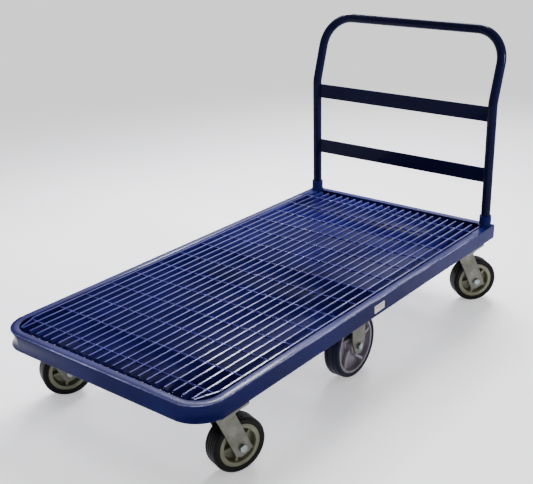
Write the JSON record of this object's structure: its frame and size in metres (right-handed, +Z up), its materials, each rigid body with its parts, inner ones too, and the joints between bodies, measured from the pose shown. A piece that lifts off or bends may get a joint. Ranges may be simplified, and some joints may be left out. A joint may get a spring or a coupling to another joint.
{
  "type": "six-wheel platform truck",
  "caption": "Flat bar-grating platform truck with a bent-channel frame, swivel casters at the corners, larger fixed wheels amidships and a lift-out push handle with cross slats.",
  "frame": {"origin": "on the floor under the centre of the whole truck's bounding box", "axes": "+Z up; +X along the truck towards the handle end; -X the front end with the bent corners; -Y the side with the label, called left"},
  "size_m": [1.5886, 0.8304, 0.9248],
  "materials": {
    "blue_paint": "gloss",
    "zinc": "satin",
    "corner_tread": "satin",
    "corner_core": "satin",
    "middle_tread": "satin",
    "middle_core": "satin",
    "bearing_steel": "satin",
    "label": "satin"
  },
  "bodies": {
    "chassis": {"front_rail": "blue_paint", "rear_rail": "blue_paint", "rear_corner_returns": "blue_paint", "handle_sockets": "blue_paint", "grating_bearing_bars": "blue_paint", "grating_cross_rods": "blue_paint", "grating_corner_bands": "blue_paint", "deck_crossmembers": "blue_paint", "corner_caster_pads": "blue_paint", "rigid_caster_mount_plates": "blue_paint", "caster_mounting_bolts": "zinc", "caster_mounting_nuts": "zinc", "corner_caster_plates": "zinc", "corner_kingpins": "zinc", "corner_kingpin_nuts": "zinc", "corner_race_balls": "bearing_steel", "middle_left_fork": "zinc", "middle_left_axle": "zinc", "middle_right_fork": "zinc", "middle_right_axle": "zinc", "label_plate": "label"},
    "handle": {"handle_tube": "blue_paint", "handle_lower_slat": "blue_paint", "handle_upper_slat": "blue_paint"},
    "front_left_swivel": {"front_left_fork": "zinc", "front_left_axle": "zinc"},
    "front_left_wheel": {"front_left_wheel_tread": "corner_tread", "front_left_wheel_core": "corner_core", "front_left_wheel_bearing": "bearing_steel"},
    "front_right_swivel": {"front_right_fork": "zinc", "front_right_axle": "zinc"},
    "front_right_wheel": {"front_right_wheel_tread": "corner_tread", "front_right_wheel_core": "corner_core", "front_right_wheel_bearing": "bearing_steel"},
    "rear_left_swivel": {"rear_left_fork": "zinc", "rear_left_axle": "zinc"},
    "rear_left_wheel": {"rear_left_wheel_tread": "corner_tread", "rear_left_wheel_core": "corner_core", "rear_left_wheel_bearing": "bearing_steel"},
    "rear_right_swivel": {"rear_right_fork": "zinc", "rear_right_axle": "zinc"},
    "rear_right_wheel": {"rear_right_wheel_tread": "corner_tread", "rear_right_wheel_core": "corner_core", "rear_right_wheel_bearing": "bearing_steel"},
    "middle_left_wheel": {"middle_left_wheel_tread": "middle_tread", "middle_left_wheel_core": "middle_core", "middle_left_wheel_bearing": "bearing_steel"},
    "middle_right_wheel": {"middle_right_wheel_tread": "middle_tread", "middle_right_wheel_core": "middle_core", "middle_right_wheel_bearing": "bearing_steel"}
  },
  "joints": [
    {"name": "handle_lift", "type": "slide", "parent": "chassis", "child": "handle", "axis": [0, 0, 1], "range_m": [0, 0.12]},
    {"name": "front_left_swivel_turn", "type": "hinge", "parent": "chassis", "child": "front_left_swivel", "pos_m": [-0.67083, -0.3235, 0.18], "axis": [0, 0, 1], "continuous": true},
    {"name": "front_left_wheel_spin", "type": "hinge", "parent": "front_left_swivel", "child": "front_left_wheel", "pos_m": [-0.62887, -0.33673, 0.0762], "axis": [0.3007, 0.9537, 0], "continuous": true},
    {"name": "front_right_swivel_turn", "type": "hinge", "parent": "chassis", "child": "front_right_swivel", "pos_m": [-0.67083, 0.3235, 0.18], "axis": [0, 0, 1], "continuous": true},
    {"name": "front_right_wheel_spin", "type": "hinge", "parent": "front_right_swivel", "child": "front_right_wheel", "pos_m": [-0.63095, 0.3049, 0.0762], "axis": [0.4226, 0.9063, 0], "continuous": true},
    {"name": "rear_left_swivel_turn", "type": "hinge", "parent": "chassis", "child": "rear_left_swivel", "pos_m": [0.6062, -0.3235, 0.18], "axis": [0, 0, 1], "continuous": true},
    {"name": "rear_left_wheel_spin", "type": "hinge", "parent": "rear_left_swivel", "child": "rear_left_wheel", "pos_m": [0.64039, -0.35119, 0.0762], "axis": [0.6293, 0.7771, 0], "continuous": true},
    {"name": "rear_right_swivel_turn", "type": "hinge", "parent": "chassis", "child": "rear_right_swivel", "pos_m": [0.6062, 0.3235, 0.18], "axis": [0, 0, 1], "continuous": true},
    {"name": "rear_right_wheel_spin", "type": "hinge", "parent": "rear_right_swivel", "child": "rear_right_wheel", "pos_m": [0.64039, 0.35119, 0.0762], "axis": [-0.6293, 0.7771, 0], "continuous": true},
    {"name": "middle_left_wheel_spin", "type": "hinge", "parent": "chassis", "child": "middle_left_wheel", "pos_m": [-0.05832, -0.30162, 0.1016], "axis": [0, 1, 0], "continuous": true},
    {"name": "middle_right_wheel_spin", "type": "hinge", "parent": "chassis", "child": "middle_right_wheel", "pos_m": [-0.05832, 0.30162, 0.1016], "axis": [0, 1, 0], "continuous": true}
  ]
}
